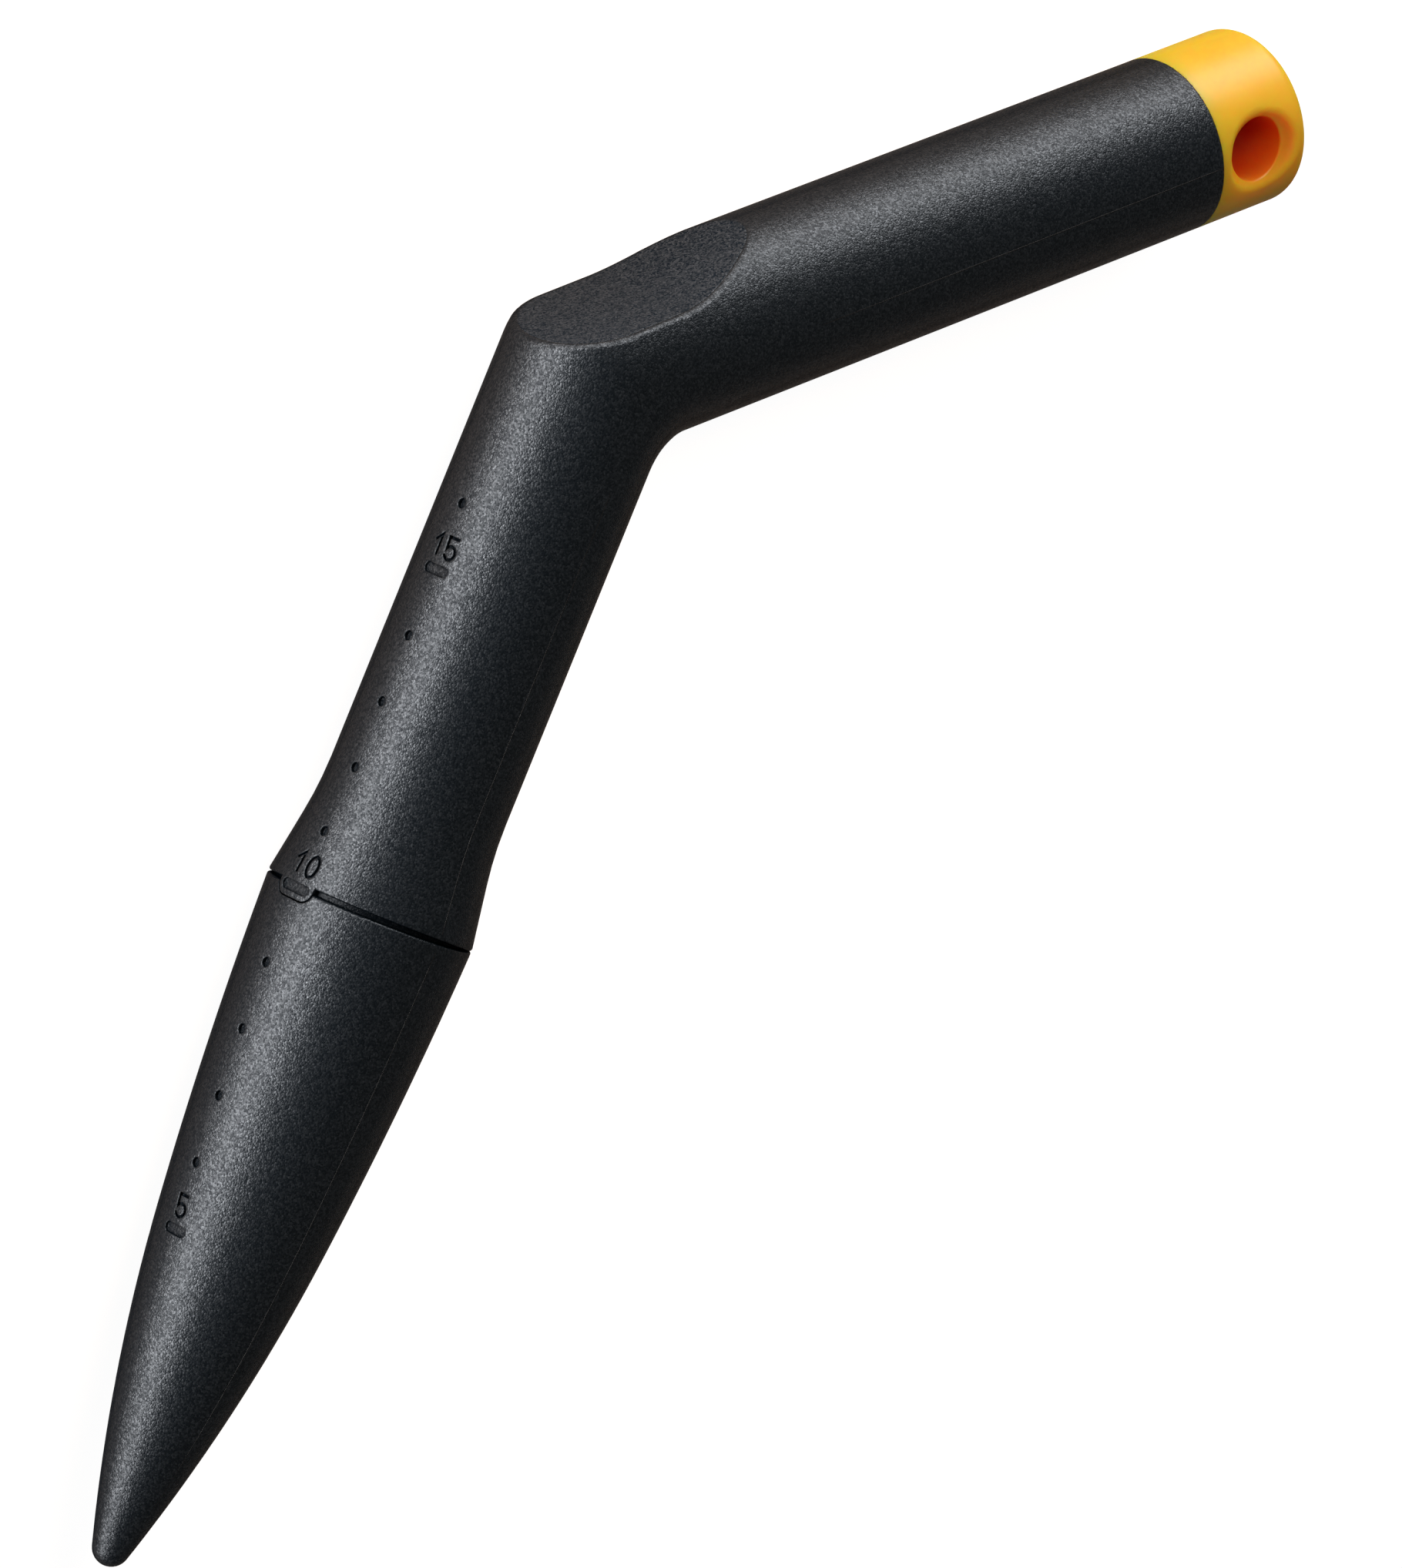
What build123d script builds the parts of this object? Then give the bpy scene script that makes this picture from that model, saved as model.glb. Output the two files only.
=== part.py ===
import os
from math import acos, cos, hypot, radians, sin, sqrt, tan

from build123d import *

# Dibber, lying on its side: +X points to the planting tip along the shaft, the handle bends
# away towards -X and +Y, and +Z is the side of the tool that faces up. The origin is under
# the middle of the box that holds the tool, on the surface that it lies on.

# Main lengths and bend, in millimetres and degrees
SHAFT_LENGTH = 183.7  # tip to the point where the two axes cross
HANDLE_LENGTH = 110.3  # axes' crossing to the joint with the cap
CAP_LENGTH = 17.5
BEND_ANGLE = 56.4  # turn from the shaft to the handle
BEND_RADIUS = 20.0  # of the centre line that rounds the inside of the bend

# Round sections
BODY_R = 13.3
BODY_WALL = 3.8
RIM_RISE = 2.2  # flare of the shaft at the joint with the cone
EDGE_R = 0.35  # small rounding of both rims at the joint

# Joint between the body and the cone, and both plug fits
JOINT_U = 100.5  # end face of the cone, measured from the tip
GROOVE_WIDTH = 0.15  # on the closed side of the joint
GROOVE_OPEN = 0.8  # added to that at the middle of the open side
GROOVE_TURN = 40.0  # from the outer line up to the middle of the open side, in degrees
GROOVE_DEPTH = 1.1
FLARE_LENGTH = 13.6
FLARE_BLEND_R = 55.0
SOCKET_WALL = 3.1
SOCKET_STEP = 0.6  # shoulder at the foot of the socket
SPIGOT_LENGTH = 15.0
LEAD_IN = 0.8  # chamfer on the end of both plugs
FIT_GAP = 0.1  # radial room of both plugs
END_GAP = 0.5  # room past the end of the spigot
BEAD_R = 0.55  # round section of both snap beads
BEAD_HEIGHT = 0.3
BEAD_GAP = 0.1

# Key tongue at the joint
TONGUE_WIDTH = 7.0
TONGUE_LENGTH = 1.55  # past the end face of the cone
TONGUE_CORNER_R = 1.8
TONGUE_GAP = 0.22
TONGUE_PILL = 1.58  # from the tongue's end to the middle of its pill

# Planting cone
TIP_R = 2.8
TIP_HALF_ANGLE = 16.4  # lean of the outline where it leaves the ball tip
RIM_LEAN = 1.6  # lean of the outline at the cone's rim
CONE_WALL = 3.0
CONE_CORE_STEPS = 4  # straight steps of the cone's hollow

# Thumb rest: a facet on the outside of the bend, with a firm inlay
FACET_DEPTH = 5.2  # below the handle's outer line, where the facet's hollow starts
FACET_START = 8.5  # of that hollow, along the handle from the axes' crossing
FACET_LEAN = 1.2  # fall of the flat towards the bend
FACET_ARC_R = 30.0
FACET_EXIT_ANGLE = 18.0
FACET_EDGE_R = 1.1
REST_MARGIN = 0.15  # bare strip between the facet's rounded edge and the inlay
REST_THICKNESS = 1.5
REST_ROOF = 2.6  # wall between the inlay and the hollow

# End cap with its hanging hole
CAP_EDGE_R = 2.2
CAP_SEAM_R = 0.15
PLUG_LENGTH = 12.0
PLUG_WALL = 2.6
HANG_BORE_R = 4.9
HANG_BORE_L = 8.3  # from the cap's joint to the hole's axis
DISH_DEPTH = 1.2  # under the cap's side, right beside the hole
DISH_RING = 1.5  # width of the dish round the hole
DISH_ROOM = 0.3  # height of the dish's round wall over the top of the cap
DISH_EDGE_R = 1.3
BORE_EDGE_R = 0.3

# Depth scale on the outer line of the shaft and cone
SCALE_PITCH = 10.0
SCALE_OFFSET = -0.8  # the scale's zero lies just beyond the rounded tip
SCALE_END_ROOM = 20.0  # shaft left bare before the bend
FIRST_MARK = 5
JOINT_MARK = 10  # the mark on the key tongue
DOT_R = 0.75
PILL_TURN = 21.5  # width of a pill, in degrees round the axis
PILL_HEIGHT = 1.55
MARK_DEPTH = 0.6
MARK_ROOM = 3.0  # least distance of a mark from the joint's own mark
DIGIT_HEIGHT = 3.6
DIGIT_WIDTH = 2.3
DIGIT_STEP = 2.8
DIGIT_STROKE = 0.45
DIGIT_GAP = 0.9  # from the pill's edge to the foot of the digits
DIGIT_FLAG = 1.1  # drop of the one's flag

# Values that follow from the sizes above
turn = radians(BEND_ANGLE)
rim_r = BODY_R + RIM_RISE
rim_u = JOINT_U + GROOVE_WIDTH
collar_r = rim_r - GROOVE_DEPTH
core_r = BODY_R - BODY_WALL
cap_r = BODY_R  # flush with the handle
cap_end = HANDLE_LENGTH + CAP_LENGTH
cap_corner = cap_end - CAP_EDGE_R
reach_x = SHAFT_LENGTH + cap_corner * cos(turn) + (cap_r - CAP_EDGE_R) * sin(turn) + CAP_EDGE_R
reach_y = cap_corner * sin(turn) + (cap_r - CAP_EDGE_R) * cos(turn) + CAP_EDGE_R
tip = Vector(reach_x / 2, (rim_r - reach_y) / 2, rim_r)
elbow = tip + Vector(-SHAFT_LENGTH, 0, 0)
handle_dir = Vector(-cos(turn), sin(turn), 0)
handle_out = Vector(-sin(turn), -cos(turn), 0)
bend_start = BEND_RADIUS * tan(turn / 2)
bend_u = SHAFT_LENGTH - bend_start
bend_centre = elbow + Vector(bend_start, BEND_RADIUS, 0)
mid_height = Plane.XY.offset(rim_r)

# Side planes hold the profiles: local x runs along the axis, local y points to the outer side
shaft_side = Plane(origin=tip, x_dir=(-1, 0, 0), z_dir=(0, 0, 1))
handle_side = Plane(origin=elbow, x_dir=handle_dir, z_dir=(0, 0, 1))
shaft_axis = Axis(tip, (-1, 0, 0))
handle_axis = Axis(elbow, handle_dir)


def shaft_section(u):
    """Plane square to the shaft, u from the tip: local x to the outer side, local y up."""
    return Plane(origin=tip + Vector(-u, 0, 0), x_dir=(0, -1, 0), z_dir=(-1, 0, 0))


def handle_section(along):
    """Plane square to the handle: local x to the outer side, local y up."""
    return Plane(origin=elbow + handle_dir * along, x_dir=handle_out, z_dir=handle_dir)


def outer_plane(u, radius, slope=0.0):
    """Plane on the outer line of the shaft: local x up in Z, local y towards the handle."""
    lean = Vector(slope, -1, 0)
    return Plane(origin=tip + Vector(-u, -radius, 0), x_dir=(0, 0, 1), z_dir=lean)


# Outline of the cone: after the ball tip, two arcs with equal tangents that run into the rim
tip_lean = radians(TIP_HALF_ANGLE)
rim_lean = radians(RIM_LEAN)
tip_tangent = Vector(cos(tip_lean), sin(tip_lean))
rim_tangent = Vector(cos(rim_lean), sin(rim_lean))
cone_start = Vector(TIP_R * (1 - sin(tip_lean)), TIP_R * cos(tip_lean))
cone_rim = Vector(JOINT_U - EDGE_R, rim_r)
run = cone_rim - cone_start
along_both = run.dot(tip_tangent + rim_tangent)
spread = 2 * (1 - tip_tangent.dot(rim_tangent))
tangent_length = (sqrt(along_both**2 + spread * run.dot(run)) - along_both) / spread
cone_knee = (cone_start + cone_rim + (tip_tangent - rim_tangent) * tangent_length) * 0.5


def arc_through(point, tangent, other):
    """Centre and radius of the arc that leaves a point along a tangent and meets another."""
    inward = Vector(tangent.Y, -tangent.X)
    chord = other - point
    radius = chord.dot(chord) / (2 * chord.dot(inward))
    return point + inward * radius, radius


tip_arc = arc_through(cone_start, tip_tangent, cone_knee)
rim_arc = arc_through(cone_rim, rim_tangent, cone_knee)


def cone_radius(u):
    centre, radius = tip_arc if u < cone_knee.X else rim_arc
    return centre.Y + sqrt(radius**2 - (u - centre.X) ** 2)


def cone_slope(u):
    centre, radius = tip_arc if u < cone_knee.X else rim_arc
    return (centre.X - u) / (cone_radius(u) - centre.Y)


# Radius and slope of the flared shaft
flare_u = rim_u + EDGE_R
flare_end = flare_u + FLARE_LENGTH
flare_slope = RIM_RISE / FLARE_LENGTH


def flare_radius(u):
    return min(rim_r, max(BODY_R, rim_r - (u - flare_u) * flare_slope))


# Line of the thumb facet in the handle's side plane: a leaning flat, a hollow arc, a straight exit
facet_lean = radians(FACET_LEAN)
facet_exit = radians(FACET_EXIT_ANGLE)
facet_hollow = Vector(
    FACET_START - FACET_ARC_R * sin(facet_lean),
    BODY_R - FACET_DEPTH + FACET_ARC_R * cos(facet_lean),
)
facet_reach = 5 * BODY_R


def facet_points(depth):
    """Far end of the flat, both ends of the arc and a far point, all lowered by a depth."""
    radius = FACET_ARC_R + depth
    arc_start = facet_hollow + Vector(sin(facet_lean), -cos(facet_lean)) * radius
    arc_end = facet_hollow + Vector(sin(facet_exit), -cos(facet_exit)) * radius
    flat_far = arc_start - Vector(cos(facet_lean), sin(facet_lean)) * facet_reach
    exit_far = arc_end + Vector(cos(facet_exit), sin(facet_exit)) * facet_reach
    return flat_far, arc_start, arc_end, exit_far


arc_start, arc_end = facet_points(0)[1:3]


def facet_height(along):
    """Height of the facet over the handle's axis."""
    if along <= arc_start.X:
        return arc_start.Y + (along - arc_start.X) * tan(facet_lean)
    if along <= arc_end.X:
        return facet_hollow.Y - sqrt(FACET_ARC_R**2 - (along - facet_hollow.X) ** 2)
    return arc_end.Y + (along - arc_end.X) * tan(facet_exit)


def space_over_facet(depth):
    """Everything over the facet's line, lowered by a depth."""
    flat_far, arc_start, arc_end, exit_far = facet_points(depth)
    with BuildPart() as space:
        with BuildSketch(handle_side):
            with BuildLine():
                Line(flat_far, arc_start)
                TangentArc(arc_start, arc_end, tangent=arc_start - flat_far)
                Polyline(arc_end, exit_far, (exit_far.X, facet_reach), (flat_far.X, facet_reach), flat_far)
            make_face()
        extrude(amount=2 * BODY_R, both=True)
    return space.part


# The facet itself, the floor of the inlay's recess and the roof of the hollow
over_facet = space_over_facet(0)
over_recess = space_over_facet(REST_THICKNESS)
over_roof = space_over_facet(REST_THICKNESS + REST_ROOF)

# Outline of the inlay, seen square to the handle: a half circle round the bend, and a nose that
# narrows to where the facet runs out of the handle. It keeps clear of the facet's rounded edge.
facet_end = arc_end.X + (BODY_R - arc_end.Y) / tan(facet_exit)


def rest_half_width(along):
    height = facet_height(along)
    edge_width = FACET_EDGE_R * tan(acos(height / BODY_R) / 2)
    return sqrt(BODY_R**2 - height**2) - edge_width - REST_MARGIN


rest_half = rest_half_width(0)
rest_nose = facet_end - FACET_EDGE_R * tan(facet_exit / 2) - REST_MARGIN
nose_along = [share * rest_nose for share in (0.15, 0.3, 0.5, 0.7, 0.85, 0.95)]
nose_side = [(along, rest_half_width(along)) for along in nose_along]
nose_far_side = [(along, -half) for along, half in reversed(nose_side)]
rest_plane = Plane(origin=elbow, x_dir=handle_dir, z_dir=handle_out)

# Thumb rest: a firm inlay, flush with the facet
with BuildPart() as thumb_rest:
    with BuildSketch(rest_plane):
        with BuildLine():
            CenterArc((0, 0), rest_half, 90, 180)
            Spline((0, rest_half), *nose_side, (rest_nose, 0), *nose_far_side, (0, -rest_half))
        make_face()
    extrude(amount=2 * BODY_R)
    add(over_recess, mode=Mode.INTERSECT)
    add(over_facet, mode=Mode.SUBTRACT)
thumb_rest.part.label = "thumb_rest"

# Places along the two plug fits
socket_r = rim_r - SOCKET_WALL
spigot_r = socket_r - FIT_GAP
spigot_end = JOINT_U - SPIGOT_LENGTH
socket_end = spigot_end - END_GAP
spigot_bead = (JOINT_U - SPIGOT_LENGTH / 2, spigot_r + BEAD_HEIGHT - BEAD_R)
plug_r = core_r - FIT_GAP
plug_bore_r = plug_r - PLUG_WALL
plug_end = HANDLE_LENGTH - PLUG_LENGTH
plug_bead = (HANDLE_LENGTH - PLUG_LENGTH / 2, plug_r + BEAD_HEIGHT - BEAD_R)
tongue_end = JOINT_U - TONGUE_LENGTH
tongue_root = spigot_r - BEAD_R

# Marks of the depth scale: their sketches lie one mark depth under the surface
mark_cut = 4 * MARK_DEPTH
digit_top = DIGIT_HEIGHT - DIGIT_STROKE / 2
digit_foot = DIGIT_STROKE / 2
digit_half = (DIGIT_WIDTH - DIGIT_STROKE) / 2
bowl_r = 1.03 * digit_half
bowl_low = digit_foot + bowl_r
bowl_high = digit_top - bowl_r
foot_step = PILL_HEIGHT / 2 + DIGIT_GAP


def cone_plane(u):
    return outer_plane(u, cone_radius(u) - MARK_DEPTH, cone_slope(u))


def body_plane(u):
    slope = -flare_slope if u < flare_end else 0.0
    return outer_plane(u, flare_radius(u) - MARK_DEPTH, slope)


def dot_mark(plane):
    with BuildSketch(plane) as mark:
        Circle(DOT_R)
    return mark.sketch


def pill_mark(plane):
    """A pill that spans the same turn round the axis at each radius."""
    with BuildSketch(plane) as mark:
        SlotOverall((tip.Y - plane.origin.Y) * radians(PILL_TURN), PILL_HEIGHT)
    return mark.sketch


def number_mark(number, plane):
    """Digits in single strokes, standing on local y = 0."""
    first = -DIGIT_STEP * (len(number) - 1) / 2
    with BuildSketch(plane) as mark:
        for place, digit in enumerate(number):
            centre = first + place * DIGIT_STEP
            left = centre - digit_half
            right = centre + digit_half
            if digit == "0":
                with Locations((centre, DIGIT_HEIGHT / 2)):
                    Ellipse(DIGIT_WIDTH / 2, DIGIT_HEIGHT / 2)
                    inner = (DIGIT_WIDTH / 2 - DIGIT_STROKE, DIGIT_HEIGHT / 2 - DIGIT_STROKE)
                    Ellipse(*inner, mode=Mode.SUBTRACT)
            if digit == "1":
                stem = centre + digit_half / 3
                with BuildLine():
                    Polyline((left, digit_top - DIGIT_FLAG), (stem, digit_top), (stem, digit_foot))
                trace(line_width=DIGIT_STROKE)
            if digit == "2":
                with BuildLine():
                    bowl = CenterArc((centre, bowl_high), bowl_r, 160, -200)
                    Polyline(bowl @ 1, (left, digit_foot), (right, digit_foot))
                trace(line_width=DIGIT_STROKE)
            if digit == "5":
                with BuildLine():
                    bowl = CenterArc((centre, bowl_low), bowl_r, -160, 305)
                    Polyline(bowl @ 1, (left, digit_top), (right, digit_top))
                trace(line_width=DIGIT_STROKE)
    return mark.sketch


def scale_u(mark):
    return mark * SCALE_PITCH + SCALE_OFFSET


def scale_sketches(marks, surface):
    """A dot for each mark, or a pill with its number at each five."""
    sketches = []
    for mark in marks:
        u = scale_u(mark)
        if mark % 5:
            sketches.append(dot_mark(surface(u)))
        else:
            sketches.append(pill_mark(surface(u)))
            sketches.append(number_mark(str(mark), surface(u + foot_step)))
    return sketches


# The joint's own mark sits on the key tongue, and the others lie clear of it on both pieces
joint_pill_u = tongue_end + TONGUE_PILL
joint_foot_u = joint_pill_u + foot_step
last_mark = int((SHAFT_LENGTH - SCALE_END_ROOM) / SCALE_PITCH)
marks = range(FIRST_MARK, last_mark + 1)
cone_marks = [mark for mark in marks if scale_u(mark) < tongue_end - MARK_ROOM]
body_marks = [mark for mark in marks if scale_u(mark) > joint_foot_u + DIGIT_HEIGHT + MARK_ROOM]
cone_scale = scale_sketches(cone_marks, cone_plane)
body_scale = scale_sketches(body_marks, body_plane)
body_scale.append(pill_mark(outer_plane(joint_pill_u, rim_r - MARK_DEPTH)))
body_scale.append(number_mark(str(JOINT_MARK), body_plane(joint_foot_u)))

# Hollow of the body: a straight core from each end, kept clear of the thumb rest
shaft_overrun = BODY_R / 2
handle_overrun = BODY_R / 3
with BuildPart() as hollow:
    with BuildSketch(shaft_section(spigot_end - END_GAP)):
        Circle(core_r)
    extrude(amount=SHAFT_LENGTH - spigot_end + END_GAP + shaft_overrun)
    with BuildSketch(handle_section(-handle_overrun)):
        Circle(core_r)
    extrude(amount=HANDLE_LENGTH + handle_overrun + END_GAP)
    add(over_roof, mode=Mode.SUBTRACT)

# Open side of the joint: a wedge that leans the rim's end face back round its collar
open_reach = 2 * rim_r
open_lean = open_reach * GROOVE_OPEN / rim_r
open_turn = radians(GROOVE_TURN)
rim_point = tip + Vector(-rim_u, 0, 0)
open_side = Plane(origin=rim_point, x_dir=(-1, 0, 0), z_dir=(0, sin(open_turn), cos(open_turn)))
with BuildPart() as opening:
    with BuildSketch(open_side):
        with BuildLine():
            Polyline((0, 0), (0, open_reach), (open_lean, open_reach), (0, 0))
        make_face()
    extrude(amount=open_reach, both=True)
    with BuildSketch(shaft_section(rim_u)):
        Circle(collar_r)
    extrude(amount=open_reach, both=True, mode=Mode.SUBTRACT)

# Key tongue, grown from the spigot out to the rim's radius, and run into the flare
tongue_base = flare_u + GROOVE_OPEN + EDGE_R
with BuildPart() as tongue:
    with BuildSketch(outer_plane(tongue_base, tongue_root)):
        Rectangle(TONGUE_WIDTH, tongue_base - tongue_end, align=(Align.CENTER, Align.MAX))
        fillet(vertices().group_by(Axis.Y)[0], TONGUE_CORNER_R)
    extrude(amount=rim_r)
    with BuildSketch(shaft_side):
        with BuildLine():
            Polyline(
                (tongue_end, 0),
                (tongue_end, rim_r),
                (flare_u, rim_r),
                (flare_end, BODY_R),
                (flare_end, 0),
                (tongue_end, 0),
            )
        make_face()
    revolve(axis=shaft_axis, mode=Mode.INTERSECT)


def on_rim(edge):
    """True for an edge on the outside of the rim, at the joint."""
    reach = edge @ 0.5 - rim_point
    return hypot(reach.Y, reach.Z) > collar_r + GROOVE_DEPTH / 2 and -reach.X < GROOVE_OPEN + EDGE_R


def half_disc(plane, outer):
    """Outer or inner half of the round section on a section plane."""
    start = -90 if outer else 90
    with BuildSketch(plane) as half:
        with BuildLine():
            CenterArc((0, 0), BODY_R, start, 180)
            Line((0, BODY_R), (0, -BODY_R))
        make_face()
    return half.sketch


# Bent body: shaft with its flare and spigot, the bend and the handle. The inside of the bend
# is a half ring, its outside is two half rounds with a ball corner, and a flat web on the
# middle lies between them, so that all its faces run into each other smoothly.
with BuildPart() as grip_body:
    # Shaft, flare, groove collar and spigot in one turned shape
    with BuildSketch(shaft_side):
        with BuildLine():
            Polyline(
                (spigot_end, 0),
                (spigot_end, spigot_r),
                (JOINT_U, spigot_r),
                (JOINT_U, collar_r),
                (rim_u, collar_r),
                (rim_u, rim_r + EDGE_R * flare_slope),
                (flare_end, BODY_R),
                (bend_u, BODY_R),
                (bend_u, 0),
                (spigot_end, 0),
            )
        profile = make_face()
        fillet(profile.vertices().sort_by_distance((flare_end, BODY_R))[0], FLARE_BLEND_R)
        chamfer(profile.vertices().group_by(Axis.X)[0].sort_by(Axis.Y)[-1], LEAD_IN)
    revolve(axis=shaft_axis)
    add(opening.part, mode=Mode.SUBTRACT)
    fillet(edges().filter_by(GeomType.LINE, reverse=True).filter_by(on_rim), EDGE_R)
    with BuildSketch(shaft_side):
        with Locations(spigot_bead):
            Circle(BEAD_R)
    revolve(axis=shaft_axis)
    # Bend
    extrude(half_disc(shaft_section(bend_u), outer=True), bend_start)
    extrude(half_disc(handle_section(0), outer=True), bend_start)
    revolve(half_disc(shaft_section(SHAFT_LENGTH), outer=True), Axis(elbow, (0, 0, -1)), BEND_ANGLE)
    revolve(half_disc(shaft_section(bend_u), outer=False), Axis(bend_centre, (0, 0, -1)), BEND_ANGLE)
    with BuildSketch(handle_side):
        with BuildLine():
            ring = CenterArc((bend_start, -BEND_RADIUS), BEND_RADIUS, 90, BEND_ANGLE)
            Polyline(ring @ 0, (0, 0), ring @ 1)
        make_face()
    extrude(amount=BODY_R, both=True)
    # Handle
    with BuildSketch(handle_section(bend_start)):
        Circle(BODY_R)
    extrude(amount=HANDLE_LENGTH - bend_start)
    # Thumb facet with a rounded edge, and the recess of its inlay
    add(over_facet, mode=Mode.SUBTRACT)
    fillet(edges(Select.LAST).filter_by(Axis.Z, reverse=True), FACET_EDGE_R)
    add(thumb_rest.part, mode=Mode.SUBTRACT)
    # Key tongue
    add(tongue.part)
    # Hollow, and the groove for the cap's snap bead
    add(hollow.part, mode=Mode.SUBTRACT)
    with BuildSketch(handle_side):
        with Locations(plug_bead):
            Circle(BEAD_R + BEAD_GAP)
    revolve(axis=handle_axis, mode=Mode.SUBTRACT)
    # Depth scale from the joint to the bend
    for sketch in body_scale:
        extrude(sketch, mark_cut, mode=Mode.SUBTRACT)
grip_body.part.label = "grip_body"

# Hollow of the planting cone, in straight steps from its foot to the socket
core_end = TIP_R + 4 * CONE_WALL
core_u = [core_end + (socket_end - core_end) * step / CONE_CORE_STEPS for step in range(CONE_CORE_STEPS)]
core_line = [(u, cone_radius(u) - CONE_WALL) for u in core_u]

# Planting cone: a hollow moulding with a socket for the spigot
with BuildPart() as planting_cone:
    with BuildSketch(shaft_side):
        with BuildLine():
            CenterArc((TIP_R, 0), TIP_R, 180, TIP_HALF_ANGLE - 90)
            TangentArc(cone_start, cone_knee, tangent=tip_tangent)
            TangentArc(cone_rim, cone_knee, tangent=rim_tangent * -1)
            CenterArc((cone_rim.X, rim_r - EDGE_R), EDGE_R, 0, 90)
            Polyline(
                (JOINT_U, rim_r - EDGE_R),
                (JOINT_U, socket_r),
                (socket_end, socket_r),
                (socket_end, socket_r - SOCKET_STEP),
                *reversed(core_line),
                (core_end, 0),
                (0, 0),
            )
        make_face()
    revolve(axis=shaft_axis)
    # Groove for the spigot's snap bead
    with BuildSketch(shaft_side):
        with Locations(spigot_bead):
            Circle(BEAD_R + BEAD_GAP)
    revolve(axis=shaft_axis, mode=Mode.SUBTRACT)
    # Notch for the key tongue
    notch_width = TONGUE_WIDTH + 2 * TONGUE_GAP
    notch_length = flare_u - tongue_end + TONGUE_GAP
    with BuildSketch(outer_plane(flare_u, tongue_root)):
        Rectangle(notch_width, notch_length, align=(Align.CENTER, Align.MAX))
        fillet(vertices().group_by(Axis.Y)[0], TONGUE_CORNER_R + TONGUE_GAP)
    extrude(amount=rim_r, mode=Mode.SUBTRACT)
    # Depth scale up to the joint
    for sketch in cone_scale:
        extrude(sketch, mark_cut, mode=Mode.SUBTRACT)
planting_cone.part.label = "planting_cone"

# Hanging hole of the cap: its place, and the dish at both mouths
bore_point = elbow + handle_dir * (HANDLE_LENGTH + HANG_BORE_L)
bore_level = Plane(origin=bore_point, x_dir=handle_dir, z_dir=(0, 0, 1))
bore_side = Plane(origin=bore_point, x_dir=handle_dir, z_dir=handle_out * -1)
bore_axis = Axis(bore_point, (0, 0, 1))
dish_floor = sqrt(cap_r**2 - HANG_BORE_R**2) - DISH_DEPTH
dish_wall_r = cap_r - dish_floor + DISH_ROOM
dish_r = HANG_BORE_R + DISH_RING
with BuildPart() as dishes:
    with BuildSketch(bore_side):
        with Locations((0, dish_floor)):
            Rectangle(dish_r, cap_r, align=(Align.MIN, Align.MIN))
        fillet(vertices().group_by(Axis.Y)[0].sort_by(Axis.X)[-1], dish_wall_r)
    revolve(axis=bore_axis)
    mirror(about=mid_height)


def on_cap_side(edge):
    """True for an edge on the round side of the cap."""
    reach = edge @ 0.5 - elbow
    return abs((reach - handle_dir * reach.dot(handle_dir)).length - cap_r) < CAP_SEAM_R / 10


def on_bore(edge):
    """True for a circle with the hanging hole's radius."""
    return abs(edge.radius - HANG_BORE_R) < FIT_GAP


# End cap: a plug with a snap bead, and the dished hanging hole across it
with BuildPart() as hang_cap:
    with BuildSketch(handle_side):
        with BuildLine():
            Polyline(
                (HANDLE_LENGTH, 0),
                (HANDLE_LENGTH, plug_bore_r),
                (plug_end, plug_bore_r),
                (plug_end, plug_r),
                (HANDLE_LENGTH, plug_r),
                (HANDLE_LENGTH, cap_r),
                (cap_end, cap_r),
                (cap_end, 0),
                (HANDLE_LENGTH, 0),
            )
        profile = make_face()
        fillet(profile.vertices().sort_by_distance((cap_end, cap_r))[0], CAP_EDGE_R)
        fillet(profile.vertices().sort_by_distance((HANDLE_LENGTH, cap_r))[0], CAP_SEAM_R)
        chamfer(profile.vertices().sort_by_distance((plug_end, plug_r))[0], LEAD_IN)
    revolve(axis=handle_axis)
    with BuildSketch(handle_side):
        with Locations(plug_bead):
            Circle(BEAD_R)
    revolve(axis=handle_axis)
    # Hanging hole with softly rounded dishes
    with BuildSketch(bore_level):
        Circle(HANG_BORE_R)
    extrude(amount=2 * cap_r, both=True, mode=Mode.SUBTRACT)
    add(dishes.part, mode=Mode.SUBTRACT)
    fillet(edges(Select.LAST).filter_by(on_cap_side), DISH_EDGE_R)
    fillet(edges().filter_by(GeomType.CIRCLE).filter_by(on_bore), BORE_EDGE_R)
hang_cap.part.label = "hang_cap"

# One file per piece
os.makedirs("parts", exist_ok=True)
export_step(grip_body.part, "parts/grip_body.step")
export_step(planting_cone.part, "parts/planting_cone.step")
export_step(hang_cap.part, "parts/hang_cap.step")
export_step(thumb_rest.part, "parts/thumb_rest.step")
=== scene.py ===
# %% [markdown]
# # A hand dibber on a pale table
# A dibber presses planting holes into loose soil. This one is a bent black handle with a
# cone for its point, a scale in centimetres along the outside, a thumb rest on the bend
# and a yellow-orange cap with a hanging hole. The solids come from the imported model, in
# metres, and this lesson dresses them: a camera, a floor, light, and one finish for each
# kind of plastic.

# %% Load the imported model
import math

import bmesh
import bpy
from mathutils import Matrix, Vector
from mathutils.bvhtree import BVHTree


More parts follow.
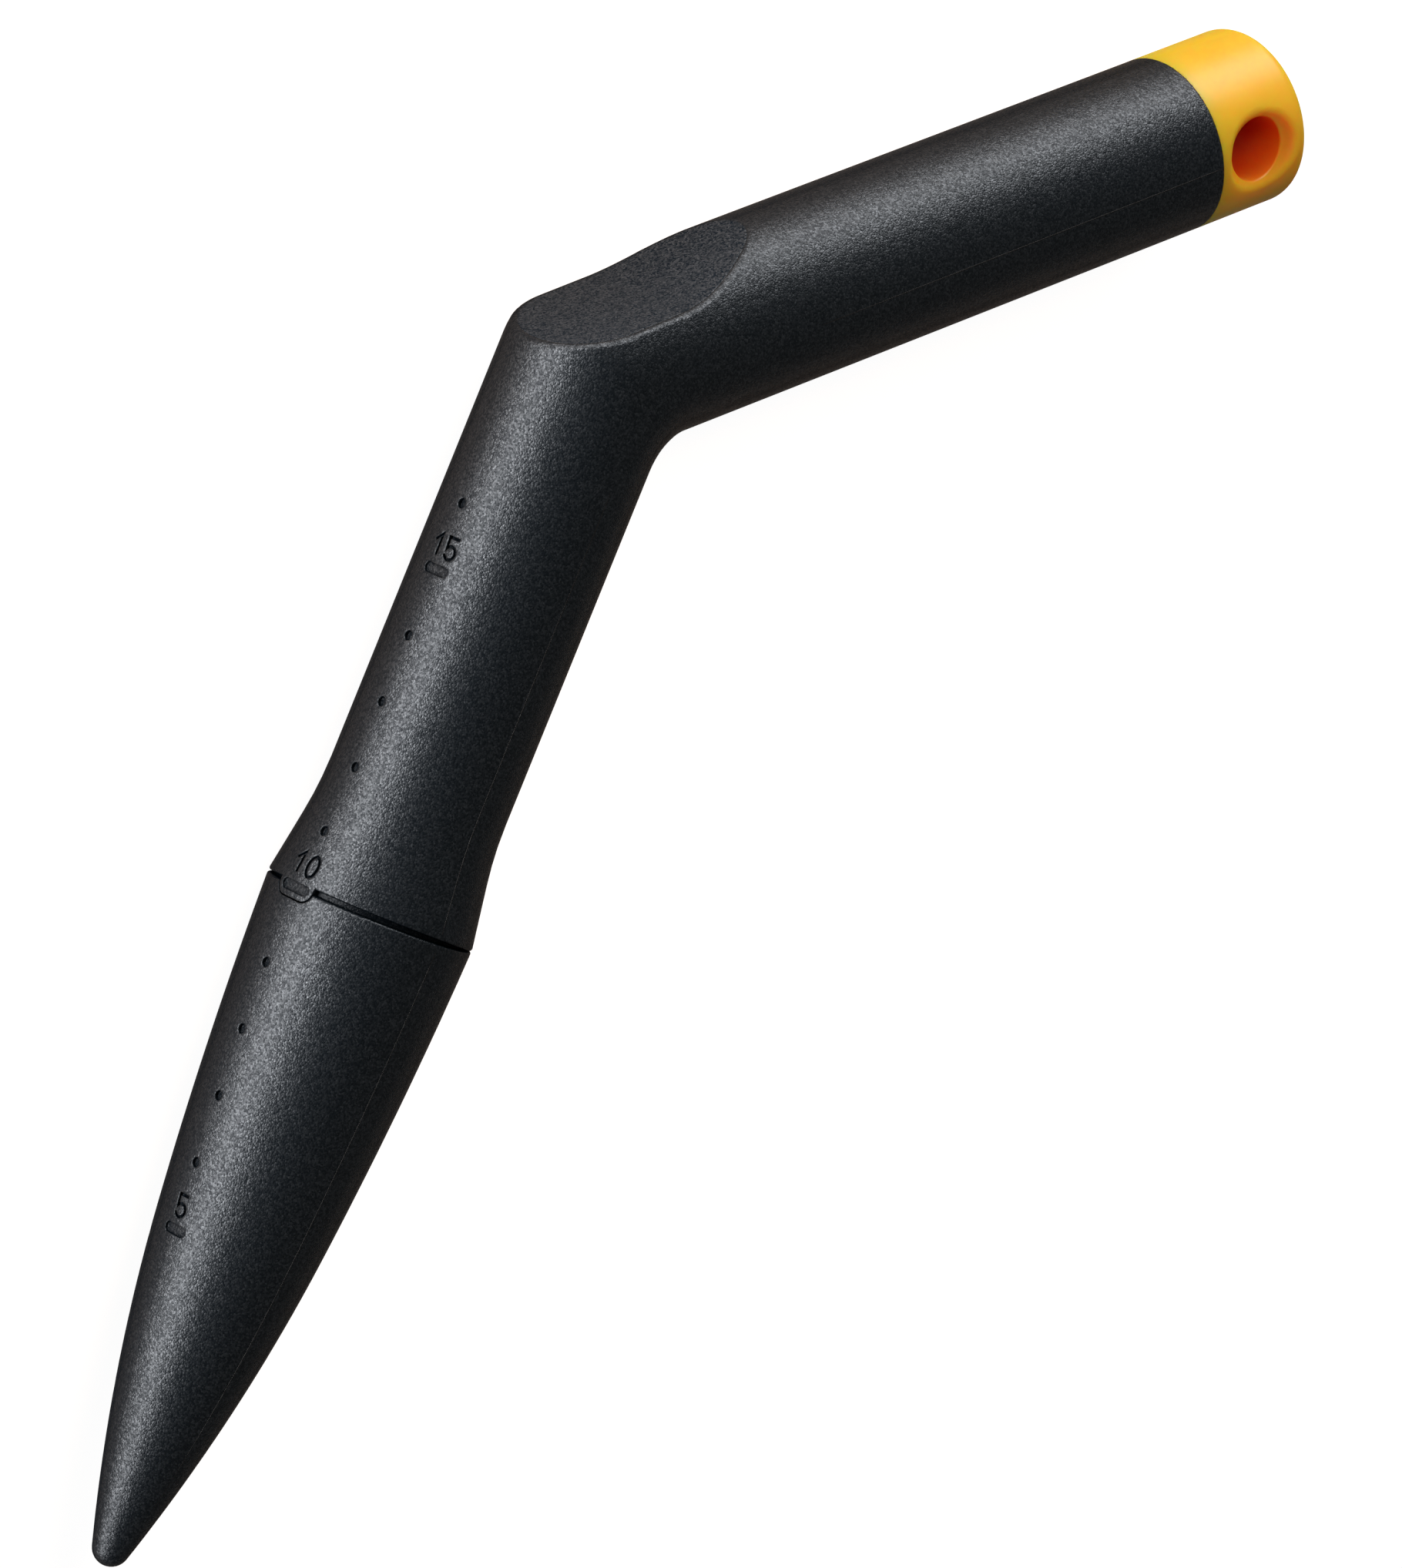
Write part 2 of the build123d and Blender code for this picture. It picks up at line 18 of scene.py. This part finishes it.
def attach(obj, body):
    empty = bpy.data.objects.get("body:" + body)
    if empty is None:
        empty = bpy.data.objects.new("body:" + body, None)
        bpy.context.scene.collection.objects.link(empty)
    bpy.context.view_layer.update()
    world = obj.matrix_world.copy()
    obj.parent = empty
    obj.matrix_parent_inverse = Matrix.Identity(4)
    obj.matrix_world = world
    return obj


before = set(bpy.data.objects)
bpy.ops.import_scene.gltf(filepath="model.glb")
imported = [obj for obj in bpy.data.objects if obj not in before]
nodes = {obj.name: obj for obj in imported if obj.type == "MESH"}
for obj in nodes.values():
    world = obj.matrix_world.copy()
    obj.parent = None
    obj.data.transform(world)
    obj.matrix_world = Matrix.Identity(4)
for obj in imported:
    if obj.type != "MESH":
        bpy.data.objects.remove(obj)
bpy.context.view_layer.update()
scene = bpy.context.scene
MM = 0.001
print("pieces:", ", ".join(sorted(nodes)))

# %% [markdown]
# ## The camera
# The photograph was taken from well away with a long lens, so the shaft hardly tapers
# towards the viewer. A camera could be aimed at the tool by a constraint, but this picture
# is rolled as well. So the camera's place and the picture's own right and up directions
# are written in the tool's frame, and the third direction follows from them. The picture
# is taken as 1820 pixels wide and 2036 high.

# %% Camera
CAMERA_PLACE = Vector((-0.07001, -1.00440, 0.99620))
PICTURE_RIGHT = Vector((-0.376775, 0.659057, 0.650911))
PICTURE_UP = Vector((-0.924996, -0.230354, -0.302191))
LENS_MM = 249.09
SENSOR_MM = 36.0

towards_viewer = PICTURE_RIGHT.cross(PICTURE_UP).normalized()
turn = Matrix((PICTURE_RIGHT, PICTURE_UP, towards_viewer)).transposed()
camera_data = bpy.data.cameras.new("camera")
camera_data.lens = LENS_MM
camera_data.sensor_fit = "HORIZONTAL"
camera_data.sensor_width = SENSOR_MM
camera = bpy.data.objects.new("camera", camera_data)
camera.matrix_world = Matrix.Translation(CAMERA_PLACE) @ turn.to_4x4()
scene.collection.objects.link(camera)
scene.camera = camera
print("camera distance in mm:", round(CAMERA_PLACE.length / MM))

# %% [markdown]
# ## Helpers for finishes
# A shader works with linear light, but colours are picked on a screen, in sRGB. One
# function turns a hex colour into linear numbers. Another adds a node to a material's
# tree, sets it up and links it, so that a finish reads as a short list of its nodes. A
# third makes the empty material that such a list starts from.

# %% Colours and nodes
def linear(hex_colour):
    """An sRGB hex colour as the linear RGBA that a socket takes."""
    channels = [int(hex_colour[i:i + 2], 16) / 255 for i in (1, 3, 5)]
    return [c / 12.92 if c <= 0.04045 else ((c + 0.055) / 1.055) ** 2.4 for c in channels] + [1.0]


def add_node(tree, kind, values=(), links=(), **settings):
    """Adds one node: its settings, the values of its sockets and the sockets that feed it."""
    node = tree.nodes.new(kind)
    for name, value in settings.items():
        setattr(node, name, value)
    for socket, value in dict(values).items():
        node.inputs[socket].default_value = value
    for socket, source in dict(links).items():
        tree.links.new(source, node.inputs[socket])
    return node


def new_material(name):
    """An empty node material and its tree."""
    material = bpy.data.materials.new(name)
    material.use_nodes = True
    material.node_tree.nodes.clear()
    return material, material.node_tree


print("a mid grey of 0.5 on the screen is", round(linear("#808080")[0], 3), "as linear light")

# %% [markdown]
# ## The floor
# The tool lies on plain white paper, which shows as clean white with a faint shadow. More
# light would turn the paper white too, but it would bleach the tool with it. So the paper
# has a glow of its own that lights nothing: the camera sees it, and the light that falls
# on the paper is added to it, which keeps the shadow. Glossy surfaces see much less of the
# glow, because the dark side of the tool shows hardly any of it.

# %% Floor
FLOOR_HALF = 6.0  # in metres
FLOOR_GLOW = 0.935  # where 1 is white
GLOW_COLOUR = "#ffffff"
MIRRORED_GLOW = 0.125  # the share of the glow that glossy surfaces see
FLOOR_COLOUR = "#b4b4b4"

floor_mesh = bpy.data.meshes.new("floor")
shape = bmesh.new()
bmesh.ops.create_grid(shape, x_segments=1, y_segments=1, size=FLOOR_HALF)
shape.to_mesh(floor_mesh)
shape.free()
floor = bpy.data.objects.new("floor", floor_mesh)
scene.collection.objects.link(floor)

# Matt paper gives the eye an even white, a soft shadow and no gloss.
paper, tree = new_material("white_paper")
rays = add_node(tree, "ShaderNodeLightPath")
mirrored = add_node(tree, "ShaderNodeMath", operation="MULTIPLY",
                    values={1: MIRRORED_GLOW}, links={0: rays.outputs["Is Glossy Ray"]})
seen = add_node(tree, "ShaderNodeMath", operation="MAXIMUM",
                links={0: rays.outputs["Is Camera Ray"], 1: mirrored.outputs[0]})
seen = add_node(tree, "ShaderNodeMath", operation="MAXIMUM",
                links={0: seen.outputs[0], 1: rays.outputs["Is Transmission Ray"]})
glow_level = add_node(tree, "ShaderNodeMath", operation="MULTIPLY",
                      values={1: FLOOR_GLOW}, links={0: seen.outputs[0]})
glow = add_node(tree, "ShaderNodeEmission", values={"Color": linear(GLOW_COLOUR)},
                links={"Strength": glow_level.outputs[0]})
matt = add_node(tree, "ShaderNodeBsdfDiffuse", values={"Color": linear(FLOOR_COLOUR)})
both = add_node(tree, "ShaderNodeAddShader", links={0: glow.outputs[0], 1: matt.outputs[0]})
add_node(tree, "ShaderNodeOutputMaterial", links={"Surface": both.outputs[0]})
floor_mesh.materials.append(paper)
print("floor side in m:", 2 * FLOOR_HALF)

# %% [markdown]
# ## The light cards
# In the photograph the outer side of the tool is lit by broad soft light from low down,
# and the far side falls nearly to black. The light shows as one grey band along the shaft
# and one along the handle. One big lamp overhead would light both, but a band on a round
# bar is the mirror image of a lamp, and these two lie in different directions. So two
# light cards lean back from the table, one in front of the shaft and one past the bend,
# in the places that the two mirror images ask for.

# %% Light cards
# The middles of a card's near and far edges and its length in metres, and its brightness.
SHAFT_CARD = {
    "foot": (0.08, -0.095, 0.002),
    "head": (0.11, -0.55, 0.09),
    "length": 0.52,
    "radiance": 4.67,
}
HANDLE_CARD = {
    "foot": (-0.22, -0.06, 0.002),
    "head": (-0.75, -0.06, 0.36),
    "length": 0.32,
    "radiance": 3.13,
}


def light_card(name, foot, head, length, radiance):
    """A flat soft lamp that leans back from the table, from its foot to its head."""
    foot = Vector(foot)
    head = Vector(head)
    rise = head - foot
    along = rise.cross(Vector((0, 0, 1))).normalized()
    facing = along.cross(rise).normalized()
    lamp = bpy.data.lights.new(name, "AREA")
    lamp.shape = "RECTANGLE"
    lamp.size = length
    lamp.size_y = rise.length
    lamp.energy = radiance * math.pi * length * rise.length
    card = bpy.data.objects.new(name, lamp)
    axes = Matrix((along, -rise.normalized(), -facing)).transposed()
    card.matrix_world = Matrix.Translation((foot + head) / 2) @ axes.to_4x4()
    scene.collection.objects.link(card)
    print(name, "gives", round(lamp.energy, 2), "W, faces", [round(c, 2) for c in facing])


light_card("shaft_card", **SHAFT_CARD)
light_card("handle_card", **HANDLE_CARD)

# %% [markdown]
# ## The fill lamp and the world
# The cards hardly reach the hole and the dish of the cap, which look warm and soft in the
# photograph. A brighter world would reach them, but it would also lift the dark side of
# the tool. So a small warm lamp above the bend fills them. It leaves no highlight of its
# own, because glossy rays do not see it. A dim even world fills the rest.

# %% Fill lamp and world
FILL_PLACE = Vector((-0.34, -0.26, 0.42))
FILL_AIM = Vector((-0.10, 0.02, 0.0155))
FILL_SIDE = 0.25  # in metres
FILL_WATTS = 1.75
FILL_COLOUR = "#ffcea6"
WORLD_COLOUR = "#ffffff"
WORLD_LEVEL = 0.083

fill = bpy.data.lights.new("fill_card", "AREA")
fill.shape = "SQUARE"
fill.size = FILL_SIDE
fill.energy = FILL_WATTS
fill.color = linear(FILL_COLOUR)[:3]
fill_card = bpy.data.objects.new("fill_card", fill)
beam = (FILL_PLACE - FILL_AIM).to_track_quat("Z", "Y")
fill_card.matrix_world = Matrix.Translation(FILL_PLACE) @ beam.to_matrix().to_4x4()
fill_card.visible_glossy = False
scene.collection.objects.link(fill_card)
print("fill lamp distance in mm:", round((FILL_PLACE - FILL_AIM).length / MM))

world = bpy.data.worlds.new("even_world")
world.use_nodes = True
background = world.node_tree.nodes["Background"]
background.inputs["Color"].default_value = linear(WORLD_COLOUR)
background.inputs["Strength"].default_value = WORLD_LEVEL
scene.world = world
scene.view_settings.view_transform = "Standard"
print("world level:", WORLD_LEVEL)

# %% [markdown]
# ## Grained black plastic
# The body and the cone are black polyamide, moulded against an etched steel mould. The
# etching leaves a fine leather grain about a fifth of a millimetre wide, and each grain
# catches the lamp by itself, so the band of light sparkles in grey. That many grains are
# too fine to model, so a Voronoi texture gives their cells: the height of a cell tilts the
# surface through a Bump node, and each cell has its own share of gloss. The Bevel node
# rounds the small edges of the marks first, because a moulded edge is never quite sharp.
# Seen edge-on the grain hides its own gloss, which Layer Weight stands for. The floors of
# the marks lie in shade, and that shade is painted: an Ambient Occlusion node finds them
# and takes most of their gloss away.

# %% Black plastic
GRAIN_MM = 0.26  # the real grain is about 0.2 mm wide, and is drawn coarser so that it shows
GRAIN_HEIGHT_MM = 0.05
EDGE_MM = 0.45  # how far the rounding of an edge shows
RECESS_MM = 1.0  # how far the shade of a mark's walls reaches
RECESS_OPEN = (0.57, 0.84)  # share of open sky on the floor of a mark, and on its rim
RECESS_GLOSS = 0.1  # share of the gloss that the floor of a mark keeps, as painted shade
SLANT = (0.3, 0.7)  # Layer Weight's Facing, where the gloss starts and ends its fall
GLINT_POWER = 2.0  # above 1, so that bright grains are few
PLASTIC_IOR = 1.5
COOL_GLOSS = "#f3f8ff"
BLACK_DYE = "#070f16"


def grained_plastic(name, colour, roughness, gloss, edge_on_gloss, sparkle):
    """Black plastic with a moulded grain: its gloss varies from grain to grain by a share."""
    material, tree = new_material(name)
    place = add_node(tree, "ShaderNodeTexCoord")
    grain = add_node(tree, "ShaderNodeTexVoronoi", links={"Vector": place.outputs["Object"]},
                     values={"Scale": 1 / (GRAIN_MM * MM)})
    shade = add_node(tree, "ShaderNodeAmbientOcclusion", samples=4,
                     values={"Distance": RECESS_MM * MM})
    open_share = add_node(tree, "ShaderNodeMapRange", links={"Value": shade.outputs["AO"]},
                          values={"From Min": RECESS_OPEN[0], "From Max": RECESS_OPEN[1],
                                  "To Min": RECESS_GLOSS, "To Max": 1.0})
    edges = add_node(tree, "ShaderNodeBevel", samples=8, values={"Radius": EDGE_MM * MM})
    height = add_node(tree, "ShaderNodeMath", operation="MULTIPLY",
                      values={1: GRAIN_HEIGHT_MM * MM}, links={0: open_share.outputs["Result"]})
    bump = add_node(tree, "ShaderNodeBump", invert=True, values={"Strength": 1.0},
                    links={"Height": grain.outputs["Distance"], "Distance": height.outputs[0],
                           "Normal": edges.outputs["Normal"]})
    slant = add_node(tree, "ShaderNodeLayerWeight")
    level = add_node(tree, "ShaderNodeMapRange", links={"Value": slant.outputs["Facing"]},
                     values={"From Min": SLANT[0], "From Max": SLANT[1],
                             "To Min": gloss, "To Max": edge_on_gloss})
    glint = add_node(tree, "ShaderNodeMath", operation="POWER", values={1: GLINT_POWER},
                     links={0: grain.outputs["Color"]})
    glint = add_node(tree, "ShaderNodeMapRange", links={"Value": glint.outputs[0]},
                     values={"To Min": 1 - sparkle, "To Max": 1 + 2 * sparkle})
    level = add_node(tree, "ShaderNodeMath", operation="MULTIPLY",
                     links={0: level.outputs["Result"], 1: glint.outputs["Result"]})
    # Painted shade: the Ambient Occlusion share takes the gloss from the floors of the marks.
    level = add_node(tree, "ShaderNodeMath", operation="MULTIPLY",
                     links={0: level.outputs[0], 1: open_share.outputs["Result"]})
    plastic = add_node(tree, "ShaderNodeBsdfPrincipled",
                       values={"Base Color": linear(colour), "Roughness": roughness,
                               "IOR": PLASTIC_IOR, "Specular Tint": linear(COOL_GLOSS)},
                       links={"Normal": bump.outputs["Normal"],
                              "Specular IOR Level": level.outputs[0]})
    add_node(tree, "ShaderNodeOutputMaterial", links={"Surface": plastic.outputs[0]})
    return material


# Etched grain gives the eye a soft grey band of light that sparkles, and deep black beside it.
black_plastic = grained_plastic("moulded_black_polyamide", BLACK_DYE, roughness=0.42, gloss=1.03,
                                edge_on_gloss=0.06, sparkle=0.6)
print(black_plastic.name, "has", round(1 / GRAIN_MM, 1), "grain cells per mm")

# %% [markdown]
# ## The thumb rest
# The thumb rest is a flat inlay on the outside of the bend. It is the same kind of plastic
# with a drier, more broken grain, so it stays darker in the light and its edge shows. It
# could have nodes of its own, but the same function with other values keeps the two
# blacks alike.

# %% Thumb rest plastic
REST_DYE = "#0c1822"

# A stippled surface gives the eye an even dark grey with fine glints, and no clear band.
rest_plastic = grained_plastic("stippled_black_polyamide", REST_DYE, roughness=0.5, gloss=0.96,
                               edge_on_gloss=0.6, sparkle=0.95)
print(rest_plastic.name, "has", len(rest_plastic.node_tree.nodes), "nodes")

# %% [markdown]
# ## Glossy cap plastic
# The cap is smooth dyed plastic. A little light goes in and comes out again further on,
# red light the furthest, so the shaded side glows orange while the lit side stays yellow.
# In the dish and the hole light bounces from wall to wall and gets redder each time, and
# the hole lies in deep shade. That bounce light and shade are painted into the colour. Paint
# on chosen faces would show where it ends, so an Ambient Occlusion node finds those hollows
# and paints the colour orange and then dark crimson there. The melt leaves faint flow marks
# some millimetres wide, which show as a slight change of roughness and colour.

# %% Cap plastic
FLOW_MM = 6.0
FLOW_DETAIL = 3.0
FLOW_RANGE = (0.3, 0.7)  # the noise hardly leaves it
FLOW_ROUGHNESS = (0.36, 0.42)
CAP_GLOSS = (0.72, 0.05)  # face-on and edge-on
RED_WAY_MM = 8.0  # how far red light strays inside the plastic
WAY_SHARES = (1.0, 0.25, 0.06)  # of red, green and blue light
HOLE_MM = 12.0  # how far the shade of the hole's walls reaches
LIT_DYES = ("#e5b825", "#e9c230")
# Painted bounce light: the orange that stands for light reddened between the dish's walls.
DISH_PAINTED_BOUNCE = "#ff8e23"
DISH_BOUNCE_OPEN = (0.65, 1.0)  # share of open sky where the dish's painted bounce light is full, and where it ends
# Painted shade: the dark crimson that stands for shaded, reddened light deep in the hole.
HOLE_PAINTED_SHADE = "#c81225"
HOLE_SHADE_OPEN = (0.08, 0.55)  # the same for the hole's painted shade

# Dyed ABS from a smooth mould gives the eye a soft shine; in its hollows warm bounce light and shade
# are painted into the colour.
cap_plastic, tree = new_material("gloss_orange_abs")
place = add_node(tree, "ShaderNodeTexCoord")
flow = add_node(tree, "ShaderNodeTexNoise", links={"Vector": place.outputs["Object"]},
                values={"Scale": 1 / (FLOW_MM * MM), "Detail": FLOW_DETAIL})
dye_and_shade = add_node(tree, "ShaderNodeMix", data_type="RGBA", links={"Factor": flow.outputs["Fac"]},
               values={"A": linear(LIT_DYES[0]), "B": linear(LIT_DYES[1])})
shade = add_node(tree, "ShaderNodeAmbientOcclusion", samples=8, only_local=True,
                 values={"Distance": HOLE_MM * MM})
# Painted bounce light and painted shade: the Ambient Occlusion share mixes them into the dye, in the
# dish and then in the hole.
for painted_light, (shut, wide) in ((DISH_PAINTED_BOUNCE, DISH_BOUNCE_OPEN), (HOLE_PAINTED_SHADE, HOLE_SHADE_OPEN)):
    shade_share = add_node(tree, "ShaderNodeMapRange", links={"Value": shade.outputs["AO"]},
                     values={"From Min": shut, "From Max": wide, "To Min": 1.0, "To Max": 0.0})
    dye_and_shade = add_node(tree, "ShaderNodeMix", data_type="RGBA", values={"B": linear(painted_light)},
                   links={"Factor": shade_share.outputs["Result"], "A": dye_and_shade.outputs["Result"]})
smooth = add_node(tree, "ShaderNodeMapRange", links={"Value": flow.outputs["Fac"]},
                  values={"From Min": FLOW_RANGE[0], "From Max": FLOW_RANGE[1],
                          "To Min": FLOW_ROUGHNESS[0], "To Max": FLOW_ROUGHNESS[1]})
slant = add_node(tree, "ShaderNodeLayerWeight")
level = add_node(tree, "ShaderNodeMapRange", links={"Value": slant.outputs["Facing"]},
                 values={"From Min": SLANT[0], "From Max": SLANT[1],
                         "To Min": CAP_GLOSS[0], "To Max": CAP_GLOSS[1]})
gloss = add_node(tree, "ShaderNodeBsdfPrincipled",
                 values={"IOR": PLASTIC_IOR, "Subsurface Weight": 1.0,
                         "Subsurface Scale": RED_WAY_MM * MM, "Subsurface Radius": WAY_SHARES},
                 links={"Base Color": dye_and_shade.outputs["Result"], "Roughness": smooth.outputs["Result"],
                        "Specular IOR Level": level.outputs["Result"]})
add_node(tree, "ShaderNodeOutputMaterial", links={"Surface": gloss.outputs[0]})
print(cap_plastic.name, "has flow marks of", FLOW_MM, "mm")

# %% [markdown]
# ## Finishes on the solids
# Each moulding is one plastic all over. Its finish could be set face by face, but one
# material slot is enough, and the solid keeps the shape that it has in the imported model.

# %% Assign the finishes
FINISHES = {
    "grip_body": black_plastic,
    "planting_cone": black_plastic,
    "thumb_rest": rest_plastic,
    "hang_cap": cap_plastic,
}
for name, material in FINISHES.items():
    nodes[name].data.materials.clear()
    nodes[name].data.materials.append(material)
    print(name, "has", material.name)

# %% [markdown]
# ## Moulding lines
# The two halves of a mould never close quite tight, and leave a hair of plastic along the
# top and the bottom of each moulding. It shows as a thin light line in the dark side. Bump
# could draw it, but a line that stands proud of the surface is shape, so it gets a mesh. A
# small face with the line's section is laid at one end and extruded from point to point.
# The points are found by dropping rays onto the solids, so the line lies on the surface,
# and its section shrinks to nothing at both ends.

# %% Plastic of the moulding lines
LINE_DYE = "#1a1b1d"

# Plastic that was squeezed between the mould's halves has no grain: a clean thin glint.
line_plastic, tree = new_material("smooth_black_polyamide")
hair = add_node(tree, "ShaderNodeBsdfPrincipled",
                values={"Base Color": linear(LINE_DYE), "Roughness": 0.4, "IOR": PLASTIC_IOR,
                        "Specular IOR Level": 0.6})
add_node(tree, "ShaderNodeOutputMaterial", links={"Surface": hair.outputs[0]})
print("made", line_plastic.name)

# %% Moulding lines
LINE_HALF_MM = 0.1
LINE_HEIGHT_MM = 0.045  # above the surface
LINE_ROOT_MM = 0.05  # sunk below it
LINE_STEP_MM = 3.0
SHOULDER_ASIDE = 0.6  # the shoulder of the section, as a share of its half width
SHOULDER_RISE = 0.7  # and as a share of its height
RAY_START = 1.0  # in metres, well clear of the tool


def moulding_line(name, node, start, end, fades, side):
    """A hair of plastic on a solid, from start to end: side 1 is its top and -1 its bottom."""
    solid = BVHTree.FromObject(nodes[node], bpy.context.evaluated_depsgraph_get())
    start = Vector(start)
    end = Vector(end)
    length = (end - start).length
    way = ((end - start) / length).to_3d()
    up = Vector((0, 0, side))
    across = way.cross(up)
    shoulder = LINE_HEIGHT_MM * SHOULDER_RISE
    section = [(-1.0, -LINE_ROOT_MM), (-SHOULDER_ASIDE, shoulder), (0.0, LINE_HEIGHT_MM),
               (SHOULDER_ASIDE, shoulder), (1.0, -LINE_ROOT_MM)]
    shape = bmesh.new()
    corners = [shape.verts.new(across * aside + up * rise) for aside, rise in section]
    loop = shape.faces.new(corners).edges[:]
    steps = math.ceil(length / LINE_STEP_MM)
    for step in range(steps + 1):
        if step:
            made = bmesh.ops.extrude_edge_only(shape, edges=loop)["geom"]
            loop = [item for item in made if isinstance(item, bmesh.types.BMEdge) and item.is_boundary]
            fresh = [item for item in made if isinstance(item, bmesh.types.BMVert)]
            corners = [min(fresh, key=lambda new: (new.co - old.co).length) for old in corners]
        along = length * step / steps
        flat = start.lerp(end, step / steps) * MM
        hit = solid.ray_cast(Vector((flat.x, flat.y, side * RAY_START)), -up)[0]
        share = min(1.0, along / fades[0], (length - along) / fades[1])
        for corner, (aside, rise) in zip(corners, section):
            lift = rise if rise < 0 else rise * share
            corner.co = hit + across * aside * LINE_HALF_MM * MM + up * lift * MM
    bmesh.ops.holes_fill(shape, edges=loop)
    bmesh.ops.recalc_face_normals(shape, faces=shape.faces)
    mesh = bpy.data.meshes.new(name)
    shape.to_mesh(mesh)
    shape.free()
    mesh.materials.append(line_plastic)
    piece = bpy.data.objects.new(name, mesh)
    scene.collection.objects.link(piece)
    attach(piece, "root")
    print(name, "runs", round(length), "mm")


# %% [markdown]
# ## Where the lines run
# The lines follow the axes of the cone, the shaft and the handle, where the mould's halves
# met. They could be searched for on the meshes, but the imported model's axes say it at
# once: the shaft runs along X, and the handle leaves it at the elbow. The lines fade out
# towards the tip and the bend, and end short at the joints.

# %% Lines on the cone, the shaft and the handle
SHAFT_Y_MM = -48.729
ELBOW_X_MM = -51.374
HANDLE_WAY = Vector((-0.55339, 0.83292))

elbow = Vector((ELBOW_X_MM, SHAFT_Y_MM))
# For each line: its solid, its start, its end and the lengths of its two fades, in mm.
MOULDING_LINES = {
    "cone_line": ("planting_cone", (124.0, SHAFT_Y_MM), (32.9, SHAFT_Y_MM), (20.0, 1.5)),
    "shaft_line": ("grip_body", (30.3, SHAFT_Y_MM), (-36.0, SHAFT_Y_MM), (1.5, 30.0)),
    "handle_line": ("grip_body", elbow + HANDLE_WAY * 32.0, elbow + HANDLE_WAY * 110.0, (30.0, 1.5)),
}
for name, (node, start, end, fades) in MOULDING_LINES.items():
    moulding_line(name + "_top", node, start, end, fades, 1)
    moulding_line(name + "_bottom", node, start, end, fades, -1)
